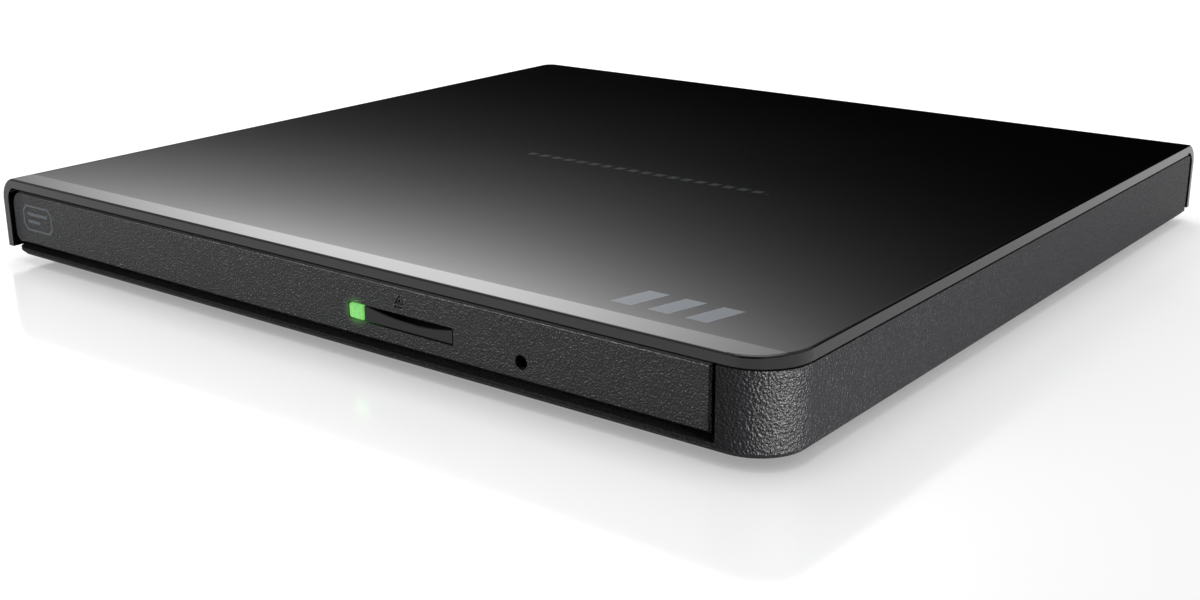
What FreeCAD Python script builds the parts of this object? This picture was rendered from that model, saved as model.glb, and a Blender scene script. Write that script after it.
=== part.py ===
import FreeCAD
import Part
import math
import os

os.makedirs("parts", exist_ok=True)
V = FreeCAD.Vector

# Slim portable optical drive with a push-release disc tray.
# Millimetres. X runs right, Y runs back, Z runs up. The origin lies under the middle of the body,
# in the plane the rubber feet stand on. The tray is shut.

# ---- overall sizes ----------------------------------------------------------------------------
WIDTH = 144.0
DEPTH = 137.5
HEIGHT = 14.0
FOOT = 1.5
CORNER = 7.0
WALL = 1.2
COVER = 1.4
FOLD = 3.8
DISC_R = 60.0

# ---- clearances -------------------------------------------------------------------------------
SEAM = 0.25
RUN = 0.15
PIN_RUN = 0.05
PRESS = 0.01
BUTTON_GAP = 0.2
BUTTON_STROKE = 0.4
BAY_GAP = 0.9
DISC_GAP = 0.5

# ---- case planes ------------------------------------------------------------------------------
XL = -WIDTH / 2
XR = WIDTH / 2
YF = -DEPTH / 2
YB = DEPTH / 2
ZB = FOOT
ZT = HEIGHT
FLOOR = ZB + WALL
COVER_UNDER = ZT - COVER
RIM_LOW = COVER_UNDER - 0.3
WALL_TOP = RIM_LOW - SEAM
FOLD_LOW = ZB + 1.0
BAND_WIDE = 3.5
BAND_DROP = 0.27
RIM_ROUND = 0.35

# ---- drive module -----------------------------------------------------------------------------
MODULE_W = 128.0
MODULE_D = 125.7
MODULE_H = 9.5
SHEET = 0.4
CX = XL + 4.4 + MODULE_W / 2
ML = CX - MODULE_W / 2
MR = CX + MODULE_W / 2
MF = YF + 4.75
MB = MF + MODULE_D
M0 = FLOOR + 0.1
M1 = M0 + MODULE_H
K = M0 + SHEET
LID = M1 - SHEET
IL = ML + 2 * SHEET + 0.05
CY = YF + 65.15

# ---- tray, rails and bezel --------------------------------------------------------------------
TRAY_HALF = DISC_R + 1.0
SKIRT = 3.8
SKIRT_LOW = K + 1.0
DECK_LOW = K + 3.7
RECESS_8 = K + 4.8
RECESS_12 = K + 5.0
SEAT = K + 5.5
TRAY_TOP = K + 7.2
BEZEL_L = XL + 1.7
BEZEL_R = XR - 9.1
BEZEL_LOW = ZB + 2.0
BEZEL_TOP = BEZEL_LOW + 8.4
BEZEL_FRONT = YF + 0.4
BEZEL_BACK = BEZEL_FRONT + 2.0
TRAY_BACK = CY + 62.2
RAIL_W = 3.15
RAIL_T = 1.6
RAIL_Z = K + 1.8
RAIL_F = YF + 8.75
RAIL_LONG = 110.0
RAIL_X = IL + 0.6
GUIDE_TIP = CX - TRAY_HALF - 0.4
POST_X = BEZEL_R + BAY_GAP

# ---- eject button, light and emergency hole -----------------------------------------------------
SLOT_X = CX + 9.2
SLOT_W = 18.7
SLOT_Z = ZB + 4.15
SLOT_H = 2.4
LIGHT_W = 2.5
HOLE_X = CX + 39.0
HOLE_Z = ZB + 4.46
HOLE_R = 0.95
SCOOP_R = 40.0
SCOOP_DEEP = 0.75
SIGN_X = SLOT_X + 9.5
SIGN_Z = SLOT_Z + SLOT_H + 1.35
SIGN_HALF = 0.85
SIGN_TALL = 1.2
SIGN_LINE = 0.25
SIGN_DEEP = 0.15

# ---- spindle and pickup -------------------------------------------------------------------------
TRAVERSE_TURN = 45.0
HUB_R = 7.45
SHAFT_R = 1.0
ROTOR_R = 12.0
TABLE_R = 14.5
ROD_R = 0.9
ROD_Z = K + 2.2
ROD_IN = -14.5
ROD_OUT = 12.5
SCREW_X = 16.6
SLED_Y = 20.5
LENS_Y = SLED_Y + 2.0
FRAME = (-18.0, 20.0, -18.0, 62.0)
EARS = ((23.0, -8.0), (-21.0, -8.0), (-21.0, 45.0), (23.0, 40.0))
COVER_POSTS = ((-14.0, -16.3), (16.0, -16.3), (-14.0, 61.0), (15.0, 61.0))

# ---- board, port, latch and ejector --------------------------------------------------------------
BOARD = (CX + 25.6, CX + 56.6, MB - 47.7, MB - 0.9)
BOARD_Z = K + 0.4
BOARD_T = 0.8
PORT_X = CX + 39.6
PORT_W = 7.7
PORT_H = 3.9
PORT_LONG = 9.0
PORT_BACK = YB - 0.55
CABLE_X = CX + 32.6
CABLE_W = 9.6
TRAY_PLUG_Y = CY + 10.6
LATCH_POST = (CX + 41.6, YF + 13.75)
PIVOT = (CX + 46.1, YF + 8.75)
LEVER_Z = K + 2.1
PLUNGER_Y = PIVOT[1] + 5.5
EJECT_X = CX + 15.6
EJECT_Z = K + 1.75
EJECT_Y = MB - 22.9

# ---- screws --------------------------------------------------------------------------------------
CASE_BOSSES = ((POST_X + 1.8, YF + 20.75), (POST_X + 1.8, YB - 16.75))
DRIVE_SCREWS = (
    (CX - 52.4, YF + 20.75),
    (CX - 52.4, MB - 9.7),
    (CX + 53.6, YF + 23.75),
    (CX + 50.6, MB - 53.7),
)
BOARD_SCREWS = ((BOARD[0] + 3.0, MB - 4.0), (BOARD[1] - 3.0, MB - 4.0))
CLIPS = (CX - 46.4, CX - 11.4, CX + 53.6)
FEET = ((XL + 10.0, YF + 10.0), (XR - 10.0, YF + 10.0), (XL + 10.0, YB - 10.0), (XR - 10.0, YB - 10.0))


# ---- drawing helpers -----------------------------------------------------------------------------
def box(x0, x1, y0, y1, z0, z1):
    return Part.makeBox(x1 - x0, y1 - y0, z1 - z0, V(x0, y0, z0))


def cyl(x, y, z0, z1, r):
    return Part.makeCylinder(r, z1 - z0, V(x, y, z0))


def cyl_x(y, z, x0, x1, r):
    return Part.makeCylinder(r, x1 - x0, V(x0, y, z), V(1, 0, 0))


def cyl_y(x, z, y0, y1, r):
    return Part.makeCylinder(r, y1 - y0, V(x, y0, z), V(0, 1, 0))


def tube(x, y, z0, z1, r_out, r_in):
    return cyl(x, y, z0, z1, r_out).cut(cyl(x, y, z0 - 1, z1 + 1, r_in))


def fuse(shapes):
    return shapes[0].fuse(shapes[1:]).removeSplitter()


def cut(shape, tools):
    return shape.cut(tools).removeSplitter()


def edges_near(shape, test):
    return [edge for edge in shape.Edges if test(edge.CenterOfMass)]


def plate(x0, x1, y0, y1, z0, z1, radii):
    """A slab with its own plan radius at each corner: front left, front right, back right, back left."""
    slab = box(x0, x1, y0, y1, z0, z1)
    corners = ((x0, y0), (x1, y0), (x1, y1), (x0, y1))
    for (cx, cy), radius in zip(corners, radii):
        if radius > 0:
            here = edges_near(slab, lambda c: abs(c.x - cx) < 1e-6 and abs(c.y - cy) < 1e-6)
            slab = slab.makeFillet(radius, here)
    return slab


def prism_x(points, x0, x1):
    wire = Part.makePolygon([V(x0, y, z) for y, z in points + points[:1]])
    return Part.Face(wire).extrude(V(x1 - x0, 0, 0))


def mirrored(shape):
    """The same piece on the other side of the drive module."""
    return shape.mirror(V(CX, 0, 0), V(1, 0, 0))


def on_traverse(shape):
    """From the traverse's own frame (spindle at its origin, pickup travel along +Y) into the case."""
    turned = shape.copy()
    turned.rotate(V(0, 0, 0), V(0, 0, 1), TRAVERSE_TURN)
    turned.translate(V(CX, CY, 0))
    return turned


def pan_screw(x, y, z_head, head_r, head_h, shaft_r, shaft_long):
    """A cross-head screw driven upwards from below; z_head is the underside of its head."""
    head = cyl(x, y, z_head, z_head + head_h, head_r)
    shaft = cyl(x, y, z_head + head_h - 0.1, z_head + head_h + shaft_long, shaft_r)
    slot = 0.22 * head_r
    deep = 0.5 * head_h
    cross_a = box(x - 0.6 * head_r, x + 0.6 * head_r, y - slot, y + slot, z_head - 1, z_head + deep)
    cross_b = box(x - slot, x + slot, y - 0.6 * head_r, y + 0.6 * head_r, z_head - 1, z_head + deep)
    return cut(fuse([head, shaft]), [cross_a, cross_b])


def save(node, shape):
    shape.exportStep("parts/" + node + ".step")


# ---- case ----------------------------------------------------------------------------------------
def on_rim(edge):
    """True for the cover's upper outside edge along the front, round the corner and along the right."""
    middle = edge.CenterOfMass
    reach = edge.BoundBox
    if reach.ZMin < ZT - 2 * BAND_DROP or abs(middle.y - YF - BAND_WIDE) < 1e-3:
        return False
    front = reach.YMax < YF + 1e-4
    side = reach.XMin > XR - 1e-4 and reach.ZMax - reach.ZMin < 2 * BAND_DROP
    corner = middle.x > XR - CORNER and middle.y < YF + CORNER
    return front or side or corner


def top_cover():
    outer = plate(XL, XR, YF, YB, FOLD_LOW, ZT, (0, CORNER, 0, 5.0))
    folds = edges_near(outer, lambda c: c.z > ZT - 1e-6 and (c.x < XL + 2.5 or c.y > YB - 2.5))
    outer = outer.makeFillet(FOLD, folds)
    band = prism_x([(YF - 2, ZT - BAND_DROP * (1 + 2 / BAND_WIDE)), (YF + BAND_WIDE, ZT),
                    (YF + BAND_WIDE, ZT + 1), (YF - 2, ZT + 1)], XL - 1, XR + 1)
    outer = outer.cut(band)
    outer = outer.makeFillet(RIM_ROUND, [edge for edge in outer.Edges if on_rim(edge)])
    inner = plate(XL + WALL, XR + 50, YF - 50, YB - WALL, FOLD_LOW - 5, COVER_UNDER, (0, 0, 0, 5.0 - WALL))
    top = COVER_UNDER - 1e-6
    left = XL + WALL + 2.5
    back = YB - WALL - 2.5
    folds = edges_near(inner, lambda c: c.z > top and (c.x < left or c.y > back))
    inner = inner.makeFillet(FOLD - WALL, folds)
    shell = outer.cut(inner)
    lip = plate(XL, XR, YF, YB, RIM_LOW, COVER_UNDER + 0.1, (0, CORNER, 0, 5.0))
    lip = lip.cut(plate(XL + WALL, XR - WALL, YF + WALL, YB, RIM_LOW - 1, ZT, (0, CORNER - WALL, 0, 0)))
    lip = lip.cut(box(XL - 1, XL + WALL, YF - 1, YB + 1, RIM_LOW - 1, ZT))
    lip = lip.cut(box(XL - 1, XR + 1, YB - FOLD, YB + 1, RIM_LOW - 1, ZT))
    shell = shell.fuse(lip)
    port = box(PORT_X - 4.9, PORT_X + 4.9, YB - 4, YB + 1, BOARD_Z + 0.1, BOARD_Z + BOARD_T + PORT_H + 0.6)
    port = port.makeFillet(0.8, edges_near(port, lambda c: abs(c.y - (YB - 1.5)) < 1e-6))
    shell = cut(shell, [port])
    bosses = []
    for x, y in CASE_BOSSES:
        boss = cyl(x, y, FLOOR + 1.85, COVER_UNDER + 0.2, 2.4)
        bosses.append(boss.cut(cyl(x, y, FLOOR, COVER_UNDER - 1.5, 0.8)))
    for y in (-40.0, 0.0, 40.0):
        bosses.append(box(XL + WALL - 0.2, XL + WALL + 1.0, y - 3.5, y + 3.5, FLOOR + 2.0, FLOOR + 3.0))
    save("top_cover", fuse([shell] + bosses))


def base_case():
    x0 = XL + WALL + 0.4
    y1 = YB - WALL - 0.4
    floor = plate(x0, XR, YF, y1, ZB, FLOOR, (2.5, CORNER, 1.0, 3.5))
    floor = floor.makeChamfer(0.7, edges_near(floor, lambda c: c.z < ZB + 1e-6))
    wall = plate(x0, XR, YF, y1, ZB + 0.8, WALL_TOP, (2.5, CORNER, 1.0, 3.5))
    inside = plate(x0 + WALL, XR - WALL, YF + WALL, y1 - WALL, ZB, ZT, (1.3, CORNER - WALL, 0.5, 2.3))
    wall = wall.cut(inside)
    side = box(POST_X, XR + 1, YF - 1, y1 + 1, ZB, WALL_TOP)
    crown = edges_near(side, lambda c: c.z > WALL_TOP - 1e-6 and c.y > y1)
    side = side.makeFillet(FOLD - WALL + 0.6, crown)
    left = box(XL, x0 + WALL, YF + 4.75, y1 + 1, ZB, FLOOR + 5.3)
    rear = box(XL, XR, y1 - WALL, y1 + 1, ZB, FLOOR + 7.3)
    standing = [wall.common(side), wall.common(left), wall.common(rear.cut(box(POST_X, XR, -99, 99, 0, 99)))]
    back = box(POST_X, POST_X + WALL, YF + 0.4, YF + 10.75, FLOOR - 0.1, WALL_TOP)
    bosses = [cyl(x, y, FLOOR - 0.1, FLOOR + 1.8, 3.2) for x, y in CASE_BOSSES]
    body = fuse([floor] + standing + [back] + bosses)
    tools = [cyl(x, y, ZB - 1, ZB + 0.4, 4.05) for x, y in FEET]
    for x, y in CASE_BOSSES:
        tools.append(cyl(x, y, ZB - 1, FLOOR + 0.3, 2.0))
        tools.append(cyl(x, y, ZB - 1, FLOOR + 3, 1.1))
    for x, y in DRIVE_SCREWS:
        tools.append(cyl(x, y, ZB - 1, ZB + 0.7, 2.0))
        tools.append(cyl(x, y, ZB - 1, FLOOR + 1, 0.9))
    for y in (-40.0, 0.0, 40.0):
        tools.append(box(XL, x0 + WALL + 1, y - 4.0, y + 4.0, FLOOR + 1.8, FLOOR + 3.2))
    tools.append(box(PORT_X - 6.2, PORT_X + 6.2, y1 - 2, y1 + 1, FLOOR + 0.7, FLOOR + 7.4))
    tools.append(box(-32.0, 32.0, -22.0, 22.0, ZB - 1, ZB + 0.2))
    save("base_case", cut(body, tools))


def small_case_parts():
    feet = []
    for x, y in FEET:
        foot = cyl(x, y, 0, ZB + 0.4, 4.0)
        feet.append(foot.makeChamfer(0.4, edges_near(foot, lambda c: c.z < 1e-6)))
    save("rubber_feet", Part.makeCompound(feet))
    case_screws = [pan_screw(x, y, FLOOR - 0.9, 1.8, 1.2, 0.78, 6.0) for x, y in CASE_BOSSES]
    save("case_screws", Part.makeCompound(case_screws))
    drive_screws = [pan_screw(x, y, ZB + 0.1, 1.8, 0.6, 0.75, 1.35) for x, y in DRIVE_SCREWS]
    save("drive_screws", Part.makeCompound(drive_screws))


# ---- drive module housing ------------------------------------------------------------------------
def port_window(y0, y1, grow):
    top = BOARD_Z + BOARD_T + PORT_H
    return box(PORT_X - 6.0 - grow, PORT_X + 6.0 + grow, y0, y1, K - 0.01, top + 0.3 + grow)


def housings():
    x0 = ML + SHEET + 0.05
    x1 = MR - SHEET - 0.05
    y1 = MB - SHEET - 0.05
    room = box(x0 + SHEET, x1 - SHEET, MF - 1, y1 - SHEET, K, LID + 1)
    lower = box(x0, x1, MF, y1, M0, LID - 0.05).cut(room)
    collars = [cyl(x, y, K - 0.1, K + 0.45, 1.4) for x, y in DRIVE_SCREWS]
    standoffs = [cyl(x, y, K - 0.1, BOARD_Z, 1.6) for x, y in BOARD_SCREWS]
    lower = fuse([lower] + collars + standoffs)
    holes = [cyl(x, y, M0 - 1, K + 2, 0.75 + PRESS) for x, y in DRIVE_SCREWS]
    holes += [cyl(x, y, M0 - 1, K + 2, 0.6 + PRESS) for x, y in BOARD_SCREWS]
    save("lower_housing", cut(lower, holes + [port_window(y1 - 2, y1 + 1, 0)]))
    upper = plate(ML, MR, MF, MB, K + 5.3, M1, (0, 0, 1.0, 1.0))
    upper = upper.cut(box(ML + SHEET, MR - SHEET, MF - 1, MB - SHEET, K, LID))
    press = plate(CX - 46, CX + 46, MF + 18, MB - 22, M1 - 0.15, M1 + 1, (12, 12, 12, 12))
    tabs = [box(x, x + 6, MF - 0.6, MF + 0.1, LID, M1 - 0.15) for x in (CX - 50, CX - 3, CX + 44)]
    upper = fuse([upper] + tabs)
    save("upper_housing", cut(upper, [press, port_window(MB - 2, MB + 1, 0.3)]))


def rail_guide():
    y0 = YF + 6.75
    y1 = y0 + 120.0
    back = box(IL, IL + 0.4, y0, y1, RAIL_Z - RUN - 0.6, RAIL_Z + RAIL_T + RUN + 0.6)
    low = box(IL, GUIDE_TIP, y0, y1, RAIL_Z - RUN - 0.6, RAIL_Z - RUN)
    high = box(IL, GUIDE_TIP, y0, y1, RAIL_Z + RAIL_T + RUN, RAIL_Z + RAIL_T + RUN + 0.6)
    stop = box(IL + 0.3, GUIDE_TIP, y1 - 1.0, y1, RAIL_Z - RUN - 0.1, RAIL_Z + RAIL_T + RUN + 0.1)
    return fuse([back, low, high, stop])


def rail():
    bar = box(RAIL_X, RAIL_X + RAIL_W, RAIL_F, RAIL_F + RAIL_LONG, RAIL_Z, RAIL_Z + RAIL_T)
    bar = bar.makeChamfer(0.4, edges_near(bar, lambda c: abs(c.z - RAIL_Z - RAIL_T / 2) < 1e-6))
    mid = RAIL_X + RAIL_W / 2
    slots = []
    for n in range(4):
        y = RAIL_F + 10 + 25 * n
        slots.append(box(mid - 0.4, mid + 0.4, y, y + 14, RAIL_Z - 1, RAIL_Z + 3))
    return cut(bar, slots)


def slides():
    save("left_rail_guide", rail_guide())
    save("right_rail_guide", mirrored(rail_guide()))
    save("left_rail", rail())
    save("right_rail", mirrored(rail()))


# ---- main board ----------------------------------------------------------------------------------
def board_parts():
    x0, x1, y0, y1 = BOARD
    top = BOARD_Z + BOARD_T
    board = plate(x0, x1, y0, y1, BOARD_Z, top, (1, 1, 1, 1))
    tongue = box(PORT_X - 5.6, PORT_X + 5.6, y1 - 0.1, YB - WALL - 1.2, BOARD_Z, top)
    holes = [cyl(x, y, BOARD_Z - 1, top + 1, 0.8) for x, y in BOARD_SCREWS]
    legs = [(PORT_X + sx * 3.2, PORT_BACK - d) for sx in (-1, 1) for d in (3.2, 7.2)]
    holes += [cyl(x, y, BOARD_Z - 1, top + 1, 0.45) for x, y in legs]
    save("main_board", cut(fuse([board, tongue]), holes))
    board_screws = []
    for x, y in BOARD_SCREWS:
        screw = fuse([cyl(x, y, top, top + 0.6, 1.4), cyl(x, y, K - 0.3, top + 0.1, 0.6)])
        board_screws.append(screw.cut(box(x - 1.0, x + 1.0, y - 0.2, y + 0.2, top + 0.3, top + 1)))
    save("board_screws", Part.makeCompound(board_screws))
    save("controller_chip", box(x0 + 6.0, x0 + 20.0, y0 + 12.0, y0 + 26.0, top, top + 1.0))
    save("motor_driver_chip", box(x1 - 9.0, x1 - 1.0, y0 + 8.0, y0 + 16.0, top, top + 0.9))
    capacitors = []
    for n in range(5):
        y = y0 + 19.0 + 3.4 * n
        for x in (x1 - 8.5, x1 - 4.4):
            capacitors.append(box(x, x + 1.6, y, y + 1.6, top, top + 0.8))
    save("board_capacitors", Part.makeCompound(capacitors))
    save("board_connector", flex_connector(CABLE_X, y0 + 2.6, top))
    shell = box(PORT_X - PORT_W / 2, PORT_X + PORT_W / 2, PORT_BACK - PORT_LONG, PORT_BACK, top, top + PORT_H)
    low = [e for e in shell.Edges if abs(e.CenterOfMass.y - PORT_BACK + PORT_LONG / 2) < 1e-6]
    shell = shell.makeFillet(0.7, [e for e in low if e.CenterOfMass.z < top + 1])
    bore = box(PORT_X - PORT_W / 2 + 0.35, PORT_X + PORT_W / 2 - 0.35, PORT_BACK - PORT_LONG + 0.4,
               PORT_BACK + 1, top + 0.35, top + PORT_H - 0.35)
    pegs = [cyl(x, y, BOARD_Z + 0.05, top + 0.2, 0.4) for x, y in legs]
    save("usb_port_shell", fuse([shell.cut(bore)] + pegs))
    port_front = PORT_BACK - PORT_LONG + 0.4
    tongue = box(PORT_X - 2.5, PORT_X + 2.5, port_front, PORT_BACK - 1.4, top + 1.6, top + 2.3)
    block = box(PORT_X - 3.4, PORT_X + 3.4, port_front, PORT_BACK - 6.6, top + 0.4, top + 3.5)
    save("usb_port_tongue", fuse([tongue, block]))
    contacts = []
    for n in range(5):
        x = PORT_X - 1.6 + 0.8 * n
        contacts.append(box(x - 0.2, x + 0.2, PORT_BACK - 6.5, PORT_BACK - 1.7, top + 1.45, top + 1.6))
    save("usb_port_contacts", Part.makeCompound(contacts))


def flex_connector(x, y, z):
    """A low flat-cable connector 11 mm wide, mouth towards the front, standing on z."""
    shell = box(x - 5.5, x + 5.5, y - 2.0, y + 2.0, z, z + 1.2)
    mouth = box(x - 5.0, x + 5.0, y - 2.5, y + 0.8, z + 0.35, z + 0.75)
    return shell.cut(mouth)


def flex_cable():
    """The flat cable lies on the floor, turns over at the front and comes back under the tray."""
    x0 = CABLE_X - CABLE_W / 2
    x1 = CABLE_X + CABLE_W / 2
    thick = 0.15
    y_fold = YF + 6.75
    board_z = BOARD_Z + BOARD_T + 0.45
    y_board = BOARD[2]
    low = [
        (y_board + 3.2, board_z),
        (y_board - 0.6, board_z),
        (y_board - 2.4, K + 0.05),
        (y_fold + 0.3, K + 0.05),
    ]
    turn = [(y_fold, K + 0.12), (y_fold, K + 0.6)]
    rise = TRAY_PLUG_Y - 4.0
    high = [
        (y_fold + 0.3, K + 0.68),
        (rise, K + 0.68),
        (rise + 2.0, DECK_LOW - 0.72),
        (rise + 4.6, DECK_LOW - 0.72),
    ]
    path = low + turn + high
    outline = []
    for y, z in path[:4]:
        outline.append((y, z))
    outline += [(y_fold - thick, K + 0.1), (y_fold - thick, K + 0.75)]
    for y, z in high:
        outline.append((y, z + thick))
    for y, z in reversed(high):
        outline.append((y, z))
    outline += [(y_fold, K + 0.55), (y_fold, K + 0.3)]
    for y, z in reversed(path[:4]):
        outline.append((y, z + thick))
    save("flex_cable", prism_x(outline, x0, x1))


# ---- tray, bezel and button ----------------------------------------------------------------------
def tray_window(z0, z1):
    x0, x1, y0, y1 = FRAME
    return on_traverse(plate(x0 - 0.6, x1 + 0.6, y0 - 0.6, y1 + 0.6, z0, z1, (4, 4, 4, 4)))


def disc_tray():
    x0 = CX - TRAY_HALF
    x1 = CX + TRAY_HALF
    slab = plate(x0, x1, BEZEL_BACK, TRAY_BACK, SKIRT_LOW, TRAY_TOP, (1, 1, 6, 6))
    hollow = box(x0 + SKIRT, x1 - SKIRT, BEZEL_BACK + 1.35, TRAY_BACK + 1, SKIRT_LOW - 1, DECK_LOW)
    groove_in = RAIL_X + RAIL_W + RUN
    groove = box(x0 - 1, groove_in, BEZEL_BACK + 2, TRAY_BACK + 1, RAIL_Z - RUN, RAIL_Z + RAIL_T + RUN)
    recess = cyl(CX, CY, RECESS_12, TRAY_TOP + 1, DISC_R + DISC_GAP)
    small = cyl(CX, CY, RECESS_8, TRAY_TOP + 1, 40.5)
    slot_end = SLOT_X + SLOT_W + 1.7
    slot_top = SLOT_Z + SLOT_H + 0.4
    slot = box(SLOT_X - 1.6, slot_end, BEZEL_BACK - 1, BEZEL_BACK + 2.05, SLOT_Z - 1.1, slot_top)
    pinhole = cyl_y(HOLE_X, HOLE_Z, BEZEL_BACK - 1, BEZEL_BACK + 2, HOLE_R + 0.2)
    tools = [hollow, groove, mirrored(groove), recess, small, tray_window(DECK_LOW - 1, RECESS_12 + 0.1)]
    tools += [slot, pinhole]
    for x in CLIPS:
        tools.append(box(x - 2.6, x + 2.6, BEZEL_BACK - 1, BEZEL_BACK + 2, SKIRT_LOW + 0.4, SKIRT_LOW + 1.6))
    for x, y in EARS:
        tools.append(on_traverse(cyl(x, y, DECK_LOW - 1, DECK_LOW + 0.9, 0.8 + PRESS)))
    tray = cut(slab, tools)
    pivot = cyl(PIVOT[0], PIVOT[1], LEVER_Z - 0.6, DECK_LOW + 0.2, 0.7)
    tab = box(EJECT_X - 2, EJECT_X + 2, EJECT_Y - 2.3, EJECT_Y - 0.3, SKIRT_LOW, DECK_LOW + 0.2)
    save("disc_tray", fuse([tray, pivot, tab]))


def eject_sign():
    """An engraved triangle outline over a bar, the usual sign for eject."""
    y0 = BEZEL_FRONT - 1
    y1 = BEZEL_FRONT + SIGN_DEEP

    def prism(points):
        wire = Part.makePolygon([V(x, y0, z) for x, z in points + points[:1]])
        return Part.Face(wire).extrude(V(0, y1 - y0, 0))

    def triangle(inset):
        half = SIGN_HALF - 2 * inset
        return prism([(SIGN_X - half, SIGN_Z + inset), (SIGN_X + half, SIGN_Z + inset),
                      (SIGN_X, SIGN_Z + SIGN_TALL - 1.6 * inset)])

    bar = box(SIGN_X - SIGN_HALF, SIGN_X + SIGN_HALF, y0, y1, SIGN_Z - 0.55, SIGN_Z - 0.55 + SIGN_LINE)
    return [triangle(0).cut(triangle(SIGN_LINE)), bar]


def front_bezel():
    face = box(BEZEL_L, BEZEL_R, BEZEL_FRONT, BEZEL_BACK, BEZEL_LOW, BEZEL_TOP)
    face = face.makeFillet(2.5, edges_near(face, lambda c: c.x < BEZEL_L + 1e-6 and c.z > BEZEL_TOP - 1e-6))
    face = face.makeChamfer(0.8, edges_near(face, lambda c: c.x < BEZEL_L + 1e-6 and c.z < BEZEL_LOW + 1e-6))
    face = face.makeChamfer(0.3, edges_near(face, lambda c: c.y < BEZEL_FRONT + 1e-6))
    slot = box(SLOT_X, SLOT_X + SLOT_W, BEZEL_FRONT - 1, BEZEL_BACK + 1, SLOT_Z, SLOT_Z + SLOT_H)
    slot = slot.makeFillet(0.25, [e for e in slot.Edges if abs(e.CenterOfMass.y - (BEZEL_FRONT + 1)) < 1e-6])
    hole = cyl_y(HOLE_X, HOLE_Z, BEZEL_FRONT - 1, BEZEL_BACK + 1, HOLE_R)
    clips = []
    for x in CLIPS:
        arm = box(x - 2.5, x + 2.5, BEZEL_BACK - 0.2, BEZEL_BACK + 2.15, SKIRT_LOW + 0.6, SKIRT_LOW + 1.4)
        barb = box(x - 2.5, x + 2.5, BEZEL_BACK + 1.45, BEZEL_BACK + 2.15, SKIRT_LOW + 0.1, SKIRT_LOW + 0.7)
        clips.append(arm.fuse(barb))
    save("front_bezel", fuse([cut(face, [slot, hole] + eject_sign())] + clips))


def light_and_button():
    z0 = SLOT_Z + BUTTON_GAP
    z1 = SLOT_Z + SLOT_H - BUTTON_GAP
    x0 = SLOT_X + BUTTON_GAP
    window = box(x0, x0 + LIGHT_W - 0.1, BEZEL_FRONT + 0.1, BEZEL_BACK + 1.1, z0, z1)
    sides = [edge for edge in window.Edges if edge.Length > 2.5 and edge.CenterOfMass.x < x0 + 1e-6]
    corners = [edge for edge in sides if abs(edge.CenterOfMass.z - (z0 + z1) / 2) > 0.5]
    window = window.makeFillet(0.35, corners)
    foot = box(x0, x0 + LIGHT_W - 0.1, BEZEL_BACK + 0.35, BEZEL_BACK + 1.45, z0 - 0.9, z0 + 0.5)
    save("light_pipe", fuse([window, foot]))
    bx0 = x0 + LIGHT_W + 0.2
    bx1 = SLOT_X + SLOT_W - BUTTON_GAP - 0.1
    face = BEZEL_FRONT + 0.15
    mid = (bx0 + bx1) / 2
    bar = box(bx0, bx1, face, BEZEL_BACK + 0.1, z0, z1)
    bar = bar.cut(cyl_y(mid + 0.8, z1 - SCOOP_DEEP + SCOOP_R, face - 1, BEZEL_BACK - 0.3, SCOOP_R))
    crest = edges_near(bar, lambda c: c.y < face + 1e-6 and abs(c.x - mid) < 2 and c.z > (z0 + z1) / 2)
    bar = bar.makeFillet(0.2, crest)
    flange = box(bx0, bx1 + 1.0, BEZEL_BACK + 0.05, BEZEL_BACK + 0.5, z0, z1 + 0.4)
    # At full press the finger meets the switch under the board, and the stem stays clear of the board.
    knob_face = BEZEL_BACK + 2.1
    stem = box(mid - 1.2, mid + 1.2, BEZEL_BACK + 0.3, knob_face - BUTTON_STROKE - 0.2, z0 - 0.9, z0 + 1.0)
    finger = box(mid - 0.9, mid + 0.9, BEZEL_BACK + 1.2, knob_face - BUTTON_STROKE, z0 - 0.9, z0 + 0.05)
    save("eject_button", fuse([bar, flange, stem, finger]))
    board = box(SLOT_X - 7.6, SLOT_X + 24.4, BEZEL_BACK + 2.05, BEZEL_BACK + 14.0, DECK_LOW - 0.8, DECK_LOW)
    save("front_board", board)
    under = DECK_LOW - 0.8
    switch = box(mid - 2.2, mid + 2.2, BEZEL_BACK + 2.45, BEZEL_BACK + 5.0, under - 1.7, under)
    knob = box(mid - 0.7, mid + 0.7, knob_face, BEZEL_BACK + 2.6, under - 1.4, under - 0.6)
    save("tact_switch", fuse([switch, knob]))
    connector = flex_connector(CABLE_X, TRAY_PLUG_Y, 0)
    connector.rotate(V(CABLE_X, TRAY_PLUG_Y, 0), V(0, 1, 0), 180)
    connector.translate(V(0, 0, DECK_LOW))
    save("tray_connector", connector)


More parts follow.
